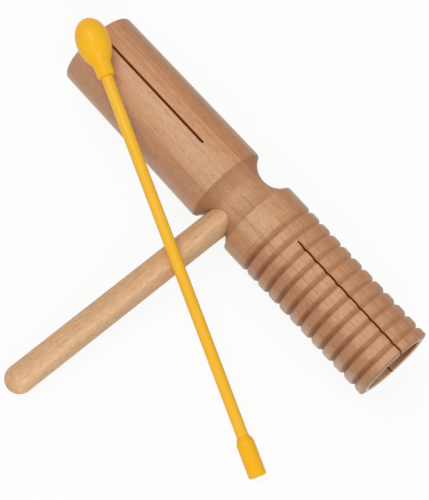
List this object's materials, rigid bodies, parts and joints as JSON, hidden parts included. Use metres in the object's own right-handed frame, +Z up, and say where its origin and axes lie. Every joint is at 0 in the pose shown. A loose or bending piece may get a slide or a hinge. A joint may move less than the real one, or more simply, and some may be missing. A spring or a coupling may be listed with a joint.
{
  "type": "wooden agogo",
  "caption": "Hand percussion block with a plain and a ribbed slit sounding tube on one axis, a dowel handle set into the waist between them, and a loose plastic beater lying across it.",
  "frame": {"origin": "on the table, under the middle of the bounding box of the instrument and its beater as they lie", "axes": "+X along the block from the plain mouth to the ribbed mouth, the handle towards -Y, +Z up from the table"},
  "size_m": [0.2058, 0.1562, 0.0526],
  "materials": {
    "block_beech": "turned, sanded and thinly lacquered",
    "handle_beech": "sanded dowel, thinly lacquered",
    "beater_plastic": "satin moulded"
  },
  "bodies": {
    "instrument": {"resonator_block": "block_beech", "handle": "handle_beech"},
    "beater": {"beater_shaft": "beater_plastic", "beater_head": "beater_plastic", "beater_butt": "beater_plastic"}
  },
  "joints": [
    {"name": "beater_lift", "type": "slide", "parent": "instrument", "child": "beater", "axis": [0, 0, 1], "range_m": [0, 0.12]}
  ]
}
